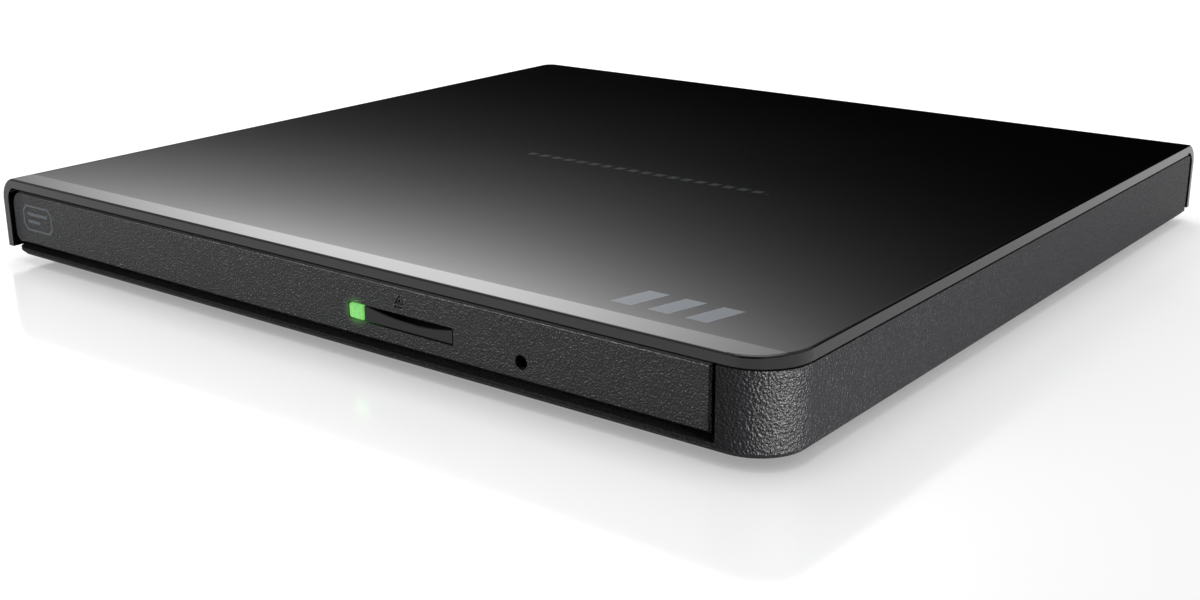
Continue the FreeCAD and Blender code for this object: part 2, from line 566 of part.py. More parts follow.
# ---- traverse ------------------------------------------------------------------------------------
def traverse_frame():
    x0, x1, y0, y1 = FRAME
    low = K + 0.7
    high = K + 3.6
    ring = plate(x0, x1, y0, y1, low, high, (4, 4, 4, 4))
    ring = ring.cut(plate(x0 + 1.5, x1 - 1.4, y0 + 3.4, y1 - 2.0, low - 1, high + 1, (2.5, 2.5, 1, 1)))
    web = box(x0 + 1, x1 - 1, y0 + 2, 13.5, low, low + 0.4)
    blocks = [box(x - 1.5, x + 1.5, 11.2, 13.5, low, ROD_Z + 1.2) for x in (ROD_IN, ROD_OUT)]
    posts = [cyl(x, y, high - 0.1, K + 4.4, 1.0) for x, y in COVER_POSTS]
    ears = []
    for x, y in EARS:
        side = x0 + 1 if x < 0 else x1 - 1
        ears.append(cyl(x, y, K + 1.4, K + 3.0, 2.8))
        ears.append(box(min(x, side), max(x, side), y - 2.0, y + 2.0, K + 1.4, K + 3.0))
    bearing = box(SCREW_X - 1.5, x1 - 1, y1 - 3.6, y1 - 1.9, low, ROD_Z + 1.2)
    frame = fuse([ring, web, bearing] + blocks + posts + ears)
    tools = [cyl(x, y, K, K + 4, 2.0 + PRESS) for x, y in EARS]
    tools += [cyl_y(x, ROD_Z, 11.6, y1 - 0.8, ROD_R + PRESS) for x in (ROD_IN, ROD_OUT)]
    tools += [cyl(x, y, high - 0.6, K + 5, 0.5 + PRESS) for x, y in COVER_POSTS]
    tools += [cyl(0, 0, low - 1, low + 1, 3.0)]
    tools += [cyl_y(SCREW_X, ROD_Z, y1 - 4.0, y1 - 1.95, 0.6 + PIN_RUN)]
    tools += [box(SCREW_X - 2.1, SCREW_X + 2.1, -9.3, 8.3, low - 1, low + 1)]
    save("traverse_frame", on_traverse(cut(frame, tools)))
    dampers = []
    screws = []
    for x, y in EARS:
        rubber = fuse([cyl(x, y, K + 1.0, DECK_LOW, 2.0), cyl(x, y, K + 1.0, K + 1.4, 2.7),
                       cyl(x, y, K + 3.0, DECK_LOW, 2.7)])
        dampers.append(on_traverse(rubber.cut(cyl(x, y, K, K + 5, 0.8 + PRESS))))
        screws.append(on_traverse(pan_screw(x, y, K + 0.5, 1.9, 0.5, 0.8, 3.5)))
    save("traverse_dampers", Part.makeCompound(dampers))
    save("traverse_screws", Part.makeCompound(screws))


def traverse_cover():
    x0, x1, y0, y1 = FRAME
    z0 = K + 4.4
    z1 = z0 + SHEET
    sheet = plate(x0 + 0.1, x1 - 0.1, y0 + 0.1, y1 - 0.1, z0, z1, (4, 4, 4, 4))
    tools = [cyl(0, 0, z0 - 1, z1 + 1, TABLE_R + 0.6)]
    tools.append(plate(-9.5, 9.5, 10.0, y1 - 2.0, z0 - 1, z1 + 1, (0, 0, 3, 3)))
    tools += [cyl(x, y, z0 - 1, z1 + 1, 0.6) for x, y in COVER_POSTS]
    save("traverse_cover", on_traverse(cut(sheet, tools)))
    screws = []
    for x, y in COVER_POSTS:
        screw = fuse([cyl(x, y, z1, z1 + 0.2, 1.1), cyl(x, y, z0 - 0.9, z1 + 0.1, 0.5)])
        screws.append(on_traverse(screw))
    save("cover_plate_screws", Part.makeCompound(screws))


def spindle():
    base_z = K + 1.1
    base = cyl(0, 0, base_z, base_z + 0.4, 11.2)
    post = cyl(0, 0, base_z, K + 3.3, 3.1)
    bore = cyl(0, 0, base_z + 0.15, K + 4, SHAFT_R + PIN_RUN)
    save("spindle_motor_base", on_traverse(cut(fuse([base, post]), [bore])))
    core_low = K + 2.0
    core_high = K + 2.6
    core = [tube(0, 0, core_low, core_high, 5.4, 3.1 + PRESS)]
    coils = []
    for n in range(9):
        tooth = box(5.0, 9.9, -0.8, 0.8, core_low, core_high)
        shoe = tube(0, 0, core_low, core_high, 10.4, 9.5).common(box(9.0, 10.5, -2.4, 2.4, 0, 99))
        coil = box(5.8, 9.1, -1.4, 1.4, core_low - 0.35, core_high + 0.35)
        coil = coil.cut(box(5, 10, -0.8 - PRESS, 0.8 + PRESS, core_low - PRESS, core_high + PRESS))
        for piece in (tooth, shoe, coil):
            piece.rotate(V(0, 0, 0), V(0, 0, 1), 40.0 * n)
        core += [tooth, shoe]
        coils.append(on_traverse(coil))
    save("stator_core", on_traverse(fuse(core)))
    save("stator_coils", Part.makeCompound(coils))
    can = cyl(0, 0, K + 1.8, K + 4.0, ROTOR_R).cut(cyl(0, 0, K + 1, K + 3.6, ROTOR_R - 0.5))
    save("spindle_rotor", on_traverse(can.cut(cyl(0, 0, K, K + 5, SHAFT_R + PRESS))))
    save("rotor_magnet", on_traverse(tube(0, 0, K + 2.0, K + 3.5, ROTOR_R - 0.52, ROTOR_R - 1.2)))
    save("spindle_shaft", on_traverse(cyl(0, 0, base_z + 0.2, K + 5.2, SHAFT_R)))
    platter = cyl(0, 0, K + 4.3, K + 5.3, TABLE_R)
    platter = platter.makeChamfer(0.25, edges_near(platter, lambda c: True)[:1])
    neck = cyl(0, 0, K + 4.0, K + 4.4, 7.0)
    hub = cyl(0, 0, K + 5.2, TRAY_TOP, HUB_R)
    hub = hub.makeChamfer(0.45, [e for e in hub.Edges if e.CenterOfMass.z > TRAY_TOP - 1e-6 and e.Closed])
    slots = []
    for n in range(3):
        slot = box(4.2, HUB_R + 1, -1.25, 1.25, SEAT + 0.1, TRAY_TOP + 1)
        slot.rotate(V(0, 0, 0), V(0, 0, 1), 120.0 * n)
        slots.append(slot)
    shaft_hole = cyl(0, 0, K + 3.9, K + 5.2, SHAFT_R + PRESS)
    save("turntable", on_traverse(cut(fuse([platter, neck, hub]), slots + [shaft_hole])))
    save("friction_ring", on_traverse(tube(0, 0, K + 5.3, SEAT, 14.0, 10.8)))
    for n in range(3):
        arm = box(4.9, 7.3, -1.1, 1.1, SEAT + 0.2, SEAT + 1.3)
        nose = box(6.2, 7.3, -1.1, 1.1, SEAT + 1.2, SEAT + 1.6)
        point = cyl(6.85, 0, SEAT + 1.25, SEAT + 1.6, 1.0)
        claw = fuse([arm, nose, point])
        claw.rotate(V(0, 0, 0), V(0, 0, 1), 120.0 * n)
        save("hub_claw_%d" % (n + 1), on_traverse(claw))


def pickup():
    y0 = SLED_Y - 5.5
    y1 = SLED_Y + 5.5
    body = box(ROD_IN + 1.6, ROD_OUT - 1.6, y0, y1, K + 1.2, K + 3.2)
    bush = box(ROD_OUT - 1.7, ROD_OUT + 1.4, y0 + 0.5, y1 - 0.5, K + 1.1, K + 3.3)
    fork = box(ROD_IN - 1.4, ROD_IN + 1.7, SLED_Y - 2, SLED_Y + 2, K + 0.9, K + 3.5)
    sled = fuse([body, bush, fork])
    tools = [cyl_y(ROD_OUT, ROD_Z, y0 - 1, y1 + 1, ROD_R + PIN_RUN)]
    tools.append(box(ROD_IN - 2, ROD_IN + 1.1, y0, y1, ROD_Z - ROD_R - PIN_RUN, ROD_Z + ROD_R + PIN_RUN))
    tools.append(box(-4.4, 4.4, LENS_Y - 3.1, LENS_Y + 3.1, K + 2.4, K + 4))
    save("pickup_sled", on_traverse(cut(sled, tools)))
    lid = box(-12.0, 10.0, y0 + 0.2, LENS_Y - 3.3, K + 3.2, K + 3.4)
    save("pickup_cover", on_traverse(lid))
    nut = box(ROD_OUT + 1.4, SCREW_X - 0.9 - RUN, SLED_Y - 3, SLED_Y + 3, K + 1.4, K + 3.0)
    save("sled_nut", on_traverse(nut))
    holder = box(-3.6, 3.6, LENS_Y - 2.6, LENS_Y + 2.6, K + 2.9, K + 4.0)
    holder = holder.cut(cyl(0, LENS_Y, K + 2, K + 5, 1.8))
    save("lens_holder", on_traverse(holder))
    lens = cyl(0, LENS_Y, K + 3.6, K + 4.1, 1.8 - PRESS)
    dome = Part.makeSphere(3.4, V(0, LENS_Y, K + 1.0)).common(cyl(0, LENS_Y, K + 4.05, K + 5, 1.8 - PRESS))
    save("objective_lens", on_traverse(fuse([lens, dome])))
    x0, x1, _, f1 = FRAME
    rods = [on_traverse(cyl_y(x, ROD_Z, 11.7, f1 - 0.9, ROD_R)) for x in (ROD_IN, ROD_OUT)]
    save("guide_rods", Part.makeCompound(rods))
    motor = cyl_y(SCREW_X, ROD_Z, -9.0, 7.8, 1.85)
    plug = cyl_y(SCREW_X, ROD_Z, 7.6, 8.2, 1.2)
    motor = fuse([motor, plug]).cut(cyl_y(SCREW_X, ROD_Z, 5.0, 9.0, 0.6 + PIN_RUN))
    save("sled_motor", on_traverse(motor))
    shaft = [cyl_y(SCREW_X, ROD_Z, 5.3, f1 - 2.1, 0.6), cyl_y(SCREW_X, ROD_Z, 9.0, f1 - 3.8, 0.72)]
    turns = int((f1 - 14.5) / 3.0)
    for n in range(turns):
        shaft.append(cyl_y(SCREW_X, ROD_Z, 10.4 + 3.0 * n, 12.2 + 3.0 * n, 0.9))
    save("lead_screw", on_traverse(fuse(shaft)))


# ---- latch and ejector ---------------------------------------------------------------------------
def latch():
    save("latch_post", cyl(LATCH_POST[0], LATCH_POST[1], K, K + 3.2, 1.0))
    px, py = PIVOT
    z0 = LEVER_Z
    z1 = LEVER_Z + 1.0
    arm = box(px - 0.8, px + 0.4, py, py + 8.8, z0, z1)
    tip = box(px - 3.1, px + 0.4, py + 7.6, py + 8.8, z0, z1)
    tip = tip.makeChamfer(0.7, edges_near(tip, lambda c: c.x < px - 3 and c.y < py + 7.7))
    tail = box(HOLE_X - 1.2, px, py - 2.0, py - 0.6, z0, z1)
    eye = cyl(px, py, z0, z1, 2.0)
    lever = fuse([arm, tip, tail, eye])
    save("latch_lever", cut(lever, [cyl(px, py, z0 - 1, z1 + 1, 0.7 + PIN_RUN)]))
    sz = K + 2.3
    x0 = px + 2.1
    x1 = px + 10.7
    frame = fuse([box(x0, x0 + 0.6, PLUNGER_Y - 3.1, PLUNGER_Y + 3.1, SKIRT_LOW, DECK_LOW),
                  box(x1 - 0.6, x1, PLUNGER_Y - 3.1, PLUNGER_Y + 3.1, SKIRT_LOW, DECK_LOW),
                  box(x0, x1, PLUNGER_Y - 3.1, PLUNGER_Y + 3.1, DECK_LOW - 0.5, DECK_LOW)])
    save("solenoid_frame", cut(frame, [cyl_x(PLUNGER_Y, sz, x0 - 1, x0 + 1, 0.7 + PIN_RUN)]))
    coil = box(x0 + 0.7, x1 - 0.7, PLUNGER_Y - 2.6, PLUNGER_Y + 2.6, K + 1.0, DECK_LOW - 0.55)
    coil = coil.makeFillet(0.6, [e for e in coil.Edges if e.Length > 7])
    save("solenoid_coil", cut(coil, [cyl_x(PLUNGER_Y, sz, x0, x1 - 1.5, 0.7 + PIN_RUN)]))
    core = cyl_x(PLUNGER_Y, sz, px + 0.9, px + 6.5, 0.7)
    plunger = fuse([core, cyl_x(PLUNGER_Y, sz, px + 0.7, px + 1.2, 1.0)])
    save("solenoid_plunger", plunger)


def ejector():
    y1 = MB - 1.0
    y0 = y1 - 14.5
    barrel = cyl_y(EJECT_X, EJECT_Z, y0, y1, 1.7)
    foot = box(EJECT_X - 2.5, EJECT_X + 2.5, y0, y1, K, K + 0.5)
    barrel = fuse([barrel, foot]).cut(cyl_y(EJECT_X, EJECT_Z, y0 + 0.8, y1 - 0.5, 1.25))
    save("ejector_barrel", barrel.cut(cyl_y(EJECT_X, EJECT_Z, y0 - 1, y0 + 1, 0.75)))
    rod = fuse([
        cyl_y(EJECT_X, EJECT_Z, EJECT_Y, y0 + 13.3, 0.7),
        cyl_y(EJECT_X, EJECT_Z, y0 + 12.9, y0 + 13.6, 1.2),
        cyl_y(EJECT_X, EJECT_Z, EJECT_Y, EJECT_Y + 0.6, 1.1),
    ])
    save("ejector_rod", rod)


top_cover()
base_case()
small_case_parts()
housings()
slides()
board_parts()
flex_cable()
disc_tray()
front_bezel()
light_and_button()
traverse_frame()
traverse_cover()
spindle()
pickup()
latch()
ejector()
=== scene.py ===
import bmesh
import bpy
import math
from mathutils import Matrix, Vector


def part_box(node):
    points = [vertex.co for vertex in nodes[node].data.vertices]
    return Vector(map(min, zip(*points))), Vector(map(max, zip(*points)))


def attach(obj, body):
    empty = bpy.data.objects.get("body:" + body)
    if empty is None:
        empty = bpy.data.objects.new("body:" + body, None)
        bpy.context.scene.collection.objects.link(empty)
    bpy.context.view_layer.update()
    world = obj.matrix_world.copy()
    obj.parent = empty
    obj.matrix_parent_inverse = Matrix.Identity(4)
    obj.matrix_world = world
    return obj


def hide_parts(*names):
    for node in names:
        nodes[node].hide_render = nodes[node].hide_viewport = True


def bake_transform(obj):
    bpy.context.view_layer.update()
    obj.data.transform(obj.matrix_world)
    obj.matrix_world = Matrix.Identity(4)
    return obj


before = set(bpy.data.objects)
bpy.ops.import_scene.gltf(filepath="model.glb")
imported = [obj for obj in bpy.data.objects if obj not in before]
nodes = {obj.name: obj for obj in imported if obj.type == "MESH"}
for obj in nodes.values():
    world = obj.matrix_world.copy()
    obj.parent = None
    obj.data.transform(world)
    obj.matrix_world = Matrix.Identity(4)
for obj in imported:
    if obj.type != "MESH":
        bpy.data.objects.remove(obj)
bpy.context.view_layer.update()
MM = 0.001


# ---- node helpers --------------------------------------------------------------------------------
def new_material(name):
    mat = bpy.data.materials.new(name)
    mat.use_nodes = True
    tree = mat.node_tree
    tree.nodes.clear()
    out = tree.nodes.new("ShaderNodeOutputMaterial")
    shader = tree.nodes.new("ShaderNodeBsdfPrincipled")
    tree.links.new(shader.outputs["BSDF"], out.inputs["Surface"])
    return mat, tree, shader


def add(tree, kind, **settings):
    node = tree.nodes.new(kind)
    for key, value in settings.items():
        setattr(node, key, value)
    return node


def place(tree):
    return add(tree, "ShaderNodeTexCoord").outputs["Object"]


def stretched(tree, where, scale):
    mapping = add(tree, "ShaderNodeMapping")
    mapping.inputs["Scale"].default_value = scale
    tree.links.new(where, mapping.inputs["Vector"])
    return mapping.outputs["Vector"]


def noise(tree, where, scale, detail=4.0, rough=0.55):
    node = add(tree, "ShaderNodeTexNoise")
    node.inputs["Scale"].default_value = scale
    node.inputs["Detail"].default_value = detail
    node.inputs["Roughness"].default_value = rough
    tree.links.new(where, node.inputs["Vector"])
    return node.outputs["Fac"]


def spread(tree, fac, low, high, start=0.3, end=0.7):
    """Takes a 0 to 1 value to low at start and high at end."""
    node = add(tree, "ShaderNodeMapRange")
    for key, value in (("From Min", start), ("From Max", end), ("To Min", low), ("To Max", high)):
        node.inputs[key].default_value = value
    tree.links.new(fac, node.inputs["Value"])
    return node.outputs["Result"]


def mix_colour(tree, fac, dark, light):
    node = add(tree, "ShaderNodeMix", data_type="RGBA")
    for socket, value in ((node.inputs[6], dark), (node.inputs[7], light)):
        if isinstance(value, tuple):
            socket.default_value = value + (1.0,)
        else:
            tree.links.new(value, socket)
    tree.links.new(fac, node.inputs[0])
    return node.outputs[2]


def sum_of(tree, a, b, kind="ADD"):
    node = add(tree, "ShaderNodeMath", operation=kind)
    for socket, value in ((node.inputs[0], a), (node.inputs[1], b)):
        if isinstance(value, (int, float)):
            socket.default_value = value
        else:
            tree.links.new(value, socket)
    return node.outputs[0]


def bump(tree, shader, height, depth, strength=1.0, under=None):
    node = add(tree, "ShaderNodeBump")
    node.inputs["Strength"].default_value = strength
    node.inputs["Distance"].default_value = depth
    tree.links.new(height, node.inputs["Height"])
    if under is not None:
        tree.links.new(under, node.inputs["Normal"])
    tree.links.new(node.outputs["Normal"], shader.inputs["Normal"])
    return node.outputs["Normal"]


def tone(colour, factor):
    return tuple(min(1.0, c * factor) for c in colour)


# ---- materials -----------------------------------------------------------------------------------
def moulded(name, colour, rough=0.5, grain=900.0, depth=0.00004, metallic=0.0, vary=0.18, specular=0.5):
    """A moulded, cast or coated surface: mottled colour, uneven sheen and a fine bump."""
    mat, tree, shader = new_material(name)
    where = place(tree)
    fine = noise(tree, where, grain)
    broad = noise(tree, where, grain / 25.0, 3.0)
    both = sum_of(tree, sum_of(tree, fine, 0.5, "MULTIPLY"), sum_of(tree, broad, 0.5, "MULTIPLY"))
    dark, light = tone(colour, 1 - vary), tone(colour, 1 + vary)
    tree.links.new(mix_colour(tree, spread(tree, both, 0, 1), dark, light), shader.inputs["Base Color"])
    tree.links.new(spread(tree, broad, rough - 0.07, rough + 0.07), shader.inputs["Roughness"])
    shader.inputs["Metallic"].default_value = metallic
    shader.inputs["Specular IOR Level"].default_value = specular
    bump(tree, shader, fine, depth, 0.6)
    return mat


def brushed(name, colour, rough=0.32, along=(1, 40, 40)):
    """Rolled or drawn steel: fine lines one way, a little dulling in patches."""
    mat, tree, shader = new_material(name)
    lines = noise(tree, stretched(tree, place(tree), along), 90.0, 6.0, 0.7)
    patch = noise(tree, place(tree), 60.0, 3.0)
    tree.links.new(mix_colour(tree, spread(tree, lines, 0, 1), tone(colour, 0.82), tone(colour, 1.08)),
                   shader.inputs["Base Color"])
    uneven = spread(tree, lines, rough - 0.08, rough + 0.08)
    dulled = sum_of(tree, uneven, spread(tree, patch, -0.04, 0.08))
    tree.links.new(dulled, shader.inputs["Roughness"])
    shader.inputs["Metallic"].default_value = 1.0
    bump(tree, shader, lines, 0.00001, 0.4)
    return mat


# painted glow of the lamp's green on the bezel: where it starts to fade, where it ends, its falloff,
# its strength and colour
PAINTED_GLOW_NEAR, PAINTED_GLOW_FAR, PAINTED_GLOW_FALL, PAINTED_GLOW_LEVEL = 1.1 * MM, 2.6 * MM, 2.2, 0.25
PAINTED_GLOW_COLOUR = (0.16, 0.6, 0.10, 1.0)
FADE_START, FADE_END = 0.45 * MM, 0.25 * MM


def leather_grain(name, colour, cell, depth, rough, specular, painted_glow_at=None, top=None):
    """Fine moulded leather grain: small uneven cells with creases between, shinier on the crowns.
    Its colour has painted shade and light: darker in the creases, lighter on the crowns.

    Round the lamp point, a painted glow of the lamp's green. Near top the grain dies away to a plain
    rim.
    """
    mat, tree, shader = new_material(name)
    where = place(tree)
    warp = add(tree, "ShaderNodeTexNoise")
    warp.inputs["Scale"].default_value = 0.8 / cell
    tree.links.new(where, warp.inputs["Vector"])
    push = add(tree, "ShaderNodeVectorMath", operation="SCALE")
    push.inputs["Scale"].default_value = cell * 0.9
    tree.links.new(warp.outputs["Color"], push.inputs[0])
    moved = add(tree, "ShaderNodeVectorMath", operation="ADD")
    tree.links.new(where, moved.inputs[0])
    tree.links.new(push.outputs[0], moved.inputs[1])
    cells = add(tree, "ShaderNodeTexVoronoi", feature="SMOOTH_F1")
    cells.inputs["Scale"].default_value = 1.0 / cell
    cells.inputs["Smoothness"].default_value = 0.35
    tree.links.new(moved.outputs[0], cells.inputs["Vector"])
    crown = spread(tree, cells.outputs["Distance"], 1.0, 0.0, 0.05, 0.8)
    dust = noise(tree, where, 1.1 / cell, 2.0, 0.6)
    height = sum_of(tree, sum_of(tree, crown, 0.5, "MULTIPLY"), dust)
    broad = noise(tree, where, 35.0, 3.0)
    # painted shade and light: the base colour darkens in the creases and lightens on the crowns,
    # following the height
    shade = spread(tree, height, 0, 1, 0.5, 1.2)
    dark, light = tone(colour, 0.6), tone(colour, 1.25)
    tree.links.new(mix_colour(tree, shade, dark, light), shader.inputs["Base Color"])
    tree.links.new(sum_of(tree, spread(tree, height, rough + 0.08, rough - 0.08, 0.5, 1.2),
                          spread(tree, broad, -0.03, 0.03)), shader.inputs["Roughness"])
    shader.inputs["Specular IOR Level"].default_value = specular
    if top:
        split = add(tree, "ShaderNodeSeparateXYZ")
        tree.links.new(where, split.inputs[0])
        plain = spread(tree, split.outputs["Z"], 1.0, 0.0, top - FADE_START, top - FADE_END)
        height = sum_of(tree, height, plain, "MULTIPLY")
    bump(tree, shader, height, depth, 1.0)
    # painted glow: the bezel itself emits green round the lamp, fading with distance from it
    if painted_glow_at:
        away = add(tree, "ShaderNodeVectorMath", operation="DISTANCE")
        away.inputs[1].default_value = painted_glow_at
        tree.links.new(where, away.inputs[0])
        near = spread(tree, away.outputs["Value"], 1.0, 0.0, PAINTED_GLOW_NEAR, PAINTED_GLOW_FAR)
        lit = sum_of(tree, near, PAINTED_GLOW_FALL, "POWER")
        tree.links.new(sum_of(tree, lit, PAINTED_GLOW_LEVEL, "MULTIPLY"), shader.inputs["Emission Strength"])
        shader.inputs["Emission Color"].default_value = PAINTED_GLOW_COLOUR
    return mat


def box_mask(tree, where, centre, half, slant=0.0, soft=0.05 * MM):
    """1 inside a rectangle on the XY plane and 0 outside, leaning along X by slant per unit of Y."""
    split = add(tree, "ShaderNodeSeparateXYZ")
    tree.links.new(where, split.inputs[0])
    dy = sum_of(tree, split.outputs["Y"], centre[1], "SUBTRACT")
    dx = sum_of(tree, split.outputs["X"], centre[0], "SUBTRACT")
    dx = sum_of(tree, dx, sum_of(tree, dy, slant, "MULTIPLY"), "SUBTRACT")
    ax = sum_of(tree, half[0], sum_of(tree, dx, 0.0, "ABSOLUTE"), "SUBTRACT")
    ay = sum_of(tree, half[1], sum_of(tree, dy, 0.0, "ABSOLUTE"), "SUBTRACT")
    inside = sum_of(tree, ax, ay, "MINIMUM")
    return spread(tree, inside, 0.0, 1.0, -soft, soft)


# in mm, seen from above
MARK_X, MARK_Y, MARK_HALF, MARK_SLANT = (46.6, 52.0, 57.4), -59.2, (1.5, 3.0), 0.25
DASHES_AT, DASHES_HALF = (8.9, -6.5), (23.4, 0.75)
DASH_PITCH, DASH_SHARE, DASH_LEVEL = 2.6, 0.6, 0.22


def glossy_cover():
    """High-gloss black moulding with three plain bars, a faint row of dashes and a light haze."""
    mat, tree, shader = new_material("cover_gloss_black")
    where = place(tree)
    haze = noise(tree, stretched(tree, where, (1, 1.6, 1)), 22.0, 5.0, 0.6)
    wipe = noise(tree, stretched(tree, where, (1, 9, 1)), 160.0, 4.0, 0.6)
    ripple = noise(tree, where, 260.0, 2.0)
    half = (MARK_HALF[0] * MM, MARK_HALF[1] * MM)
    mark = None
    for bar_x in MARK_X:
        here = box_mask(tree, where, (bar_x * MM, MARK_Y * MM), half, MARK_SLANT)
        mark = here if mark is None else sum_of(tree, mark, here, "MAXIMUM")
    line = box_mask(tree, where, (DASHES_AT[0] * MM, DASHES_AT[1] * MM),
                    (DASHES_HALF[0] * MM, DASHES_HALF[1] * MM))
    split = add(tree, "ShaderNodeSeparateXYZ")
    tree.links.new(where, split.inputs[0])
    lean = sum_of(tree, split.outputs["Y"], MARK_SLANT, "MULTIPLY")
    leaning = sum_of(tree, split.outputs["X"], lean, "SUBTRACT")
    step = sum_of(tree, sum_of(tree, leaning, 1 / (DASH_PITCH * MM), "MULTIPLY"), 0.0, "FRACT")
    dashes = sum_of(tree, line, sum_of(tree, step, DASH_SHARE, "LESS_THAN"), "MULTIPLY")
    faint = sum_of(tree, dashes, DASH_LEVEL, "MULTIPLY")
    paint = sum_of(tree, mark, faint, "MAXIMUM")
    body = mix_colour(tree, spread(tree, haze, 0, 1),
                      (0.0010, 0.0011, 0.0014), (0.0018, 0.0019, 0.0023))
    tree.links.new(mix_colour(tree, paint, body, (0.115, 0.135, 0.16)), shader.inputs["Base Color"])
    gloss = sum_of(tree, spread(tree, haze, 0.03, 0.05), spread(tree, wipe, 0.0, 0.012))
    sheen = sum_of(tree, gloss, sum_of(tree, paint, 0.25, "MULTIPLY"))
    tree.links.new(sheen, shader.inputs["Roughness"])
    shader.inputs["IOR"].default_value = 1.52
    bump(tree, shader, ripple, 0.0000025, 0.4)
    return mat


def lit_green():
    """A lens lit from behind, a little cloudy."""
    mat, tree, shader = new_material("lit_green")
    cloud = noise(tree, place(tree), 1500.0, 3.0)
    tree.links.new(mix_colour(tree, spread(tree, cloud, 0, 1), (0.02, 0.10, 0.02), (0.03, 0.14, 0.02)),
                   shader.inputs["Base Color"])
    tree.links.new(mix_colour(tree, spread(tree, cloud, 0, 1), (0.17, 0.60, 0.12), (0.24, 0.66, 0.17)),
                   shader.inputs["Emission Color"])
    tree.links.new(spread(tree, cloud, 0.86, 0.98), shader.inputs["Emission Strength"])
    tree.links.new(spread(tree, cloud, 0.2, 0.35), shader.inputs["Roughness"])
    bump(tree, shader, cloud, 0.00002, 0.3)
    return mat


def circuit_board(name):
    """Solder mask over copper: fine tracks show as a raised, lighter net."""
    mat, tree, shader = new_material(name)
    where = place(tree)
    tracks = add(tree, "ShaderNodeTexBrick")
    tracks.inputs["Scale"].default_value = 260.0
    tracks.inputs["Mortar Size"].default_value = 0.03
    tree.links.new(where, tracks.inputs["Vector"])
    blot = noise(tree, where, 120.0, 4.0)
    colour = mix_colour(tree, tracks.outputs["Fac"], (0.012, 0.10, 0.04), (0.03, 0.22, 0.09))
    tree.links.new(mix_colour(tree, spread(tree, blot, 0.0, 0.35), colour, (0.006, 0.05, 0.02)),
                   shader.inputs["Base Color"])
    tree.links.new(spread(tree, blot, 0.25, 0.4), shader.inputs["Roughness"])
    bump(tree, shader, tracks.outputs["Fac"], 0.00003, 0.5)
    return mat


def clear_lens():
    mat, tree, shader = new_material("coated_lens")
    film = noise(tree, place(tree), 400.0, 2.0)
    tree.links.new(mix_colour(tree, spread(tree, film, 0, 1), (0.55, 0.62, 0.85), (0.75, 0.7, 0.95)),
                   shader.inputs["Base Color"])
    tree.links.new(spread(tree, film, 0.02, 0.06), shader.inputs["Roughness"])
    shader.inputs["Transmission Weight"].default_value = 0.7
    bump(tree, shader, film, 0.000002, 0.2)
    return mat


def wound_wire():
    """Enamelled copper wire laid in close turns, with painted shade darkening the colour between them.
    """
    mat, tree, shader = new_material("wound_copper")
    turns = add(tree, "ShaderNodeTexWave", wave_type="BANDS", bands_direction="DIAGONAL")
    turns.inputs["Scale"].default_value = 2600.0
    turns.inputs["Distortion"].default_value = 0.6
    tree.links.new(place(tree), turns.inputs["Vector"])
    # painted shade: the colour darkens between the turns and lightens across each one
    tree.links.new(mix_colour(tree, turns.outputs["Fac"], (0.22, 0.06, 0.02), (0.75, 0.30, 0.12)),
                   shader.inputs["Base Color"])
    tree.links.new(spread(tree, turns.outputs["Fac"], 0.45, 0.25, 0, 1), shader.inputs["Roughness"])
    shader.inputs["Metallic"].default_value = 0.8
    bump(tree, shader, turns.outputs["Fac"], 0.00004, 0.8)
    return mat


def amber_film():
    """Polyimide film with copper tracks showing through along its length."""
    mat, tree, shader = new_material("amber_film")
    bands = add(tree, "ShaderNodeTexWave", wave_type="BANDS", bands_direction="X")
    bands.inputs["Scale"].default_value = 620.0
    tree.links.new(place(tree), bands.inputs["Vector"])
    stain = noise(tree, place(tree), 300.0, 3.0)
    colour = mix_colour(tree, bands.outputs["Fac"], (0.35, 0.14, 0.02), (0.75, 0.42, 0.10))
    tree.links.new(mix_colour(tree, spread(tree, stain, 0.0, 0.4), colour, (0.28, 0.10, 0.015)),
                   shader.inputs["Base Color"])
    tree.links.new(spread(tree, stain, 0.18, 0.3), shader.inputs["Roughness"])
    bump(tree, shader, bands.outputs["Fac"], 0.00002, 0.5)
    return mat


cover_gloss = glossy_cover()
base_grain = leather_grain("base_leather_grain", (0.0012, 0.0012, 0.0014), 0.34 * MM, 0.17 * MM,
                           rough=0.42, specular=0.06)
bezel_low, bezel_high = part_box("front_bezel")
lamp_low, lamp_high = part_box("light_pipe")
lamp_at = ((lamp_low[0] + lamp_high[0]) / 2, lamp_low[1], lamp_high[2] - 1.0 * MM)
bezel_grain = leather_grain("bezel_leather_grain", (0.005, 0.0052, 0.006), 0.30 * MM, 0.16 * MM,
                            rough=0.34, specular=0.26, painted_glow_at=lamp_at, top=bezel_high[2])
button_satin = moulded("button_satin", (0.008, 0.008, 0.009), 0.34, 1500.0, 0.00001, specular=0.3)
rubber = moulded("foot_rubber", (0.03, 0.03, 0.031), 0.75, 1600.0, 0.00008)
black_screw = moulded("black_oxide", (0.05, 0.05, 0.055), 0.4, 1200.0, 0.00002, 0.8)
zinc = brushed("zinc_plate", (0.62, 0.62, 0.6), 0.3, (30, 30, 1))
sheet = brushed("rolled_sheet", (0.6, 0.61, 0.62), 0.34)
drawn = brushed("drawn_steel", (0.55, 0.56, 0.57), 0.26, (40, 1, 40))
tray_black = moulded("tray_matte", (0.028, 0.028, 0.030), 0.55, 1300.0, 0.00004)
board_mask = circuit_board("solder_mask")
epoxy = moulded("chip_epoxy", (0.018, 0.018, 0.02), 0.5, 2600.0, 0.00002)
tan = moulded("fired_ceramic", (0.42, 0.32, 0.21), 0.45, 1800.0, 0.00002)
nylon = moulded("natural_nylon", (0.78, 0.76, 0.7), 0.42, 900.0, 0.00002, vary=0.06)
nickel = brushed("nickel_plate", (0.75, 0.74, 0.7), 0.2, (1, 30, 30))
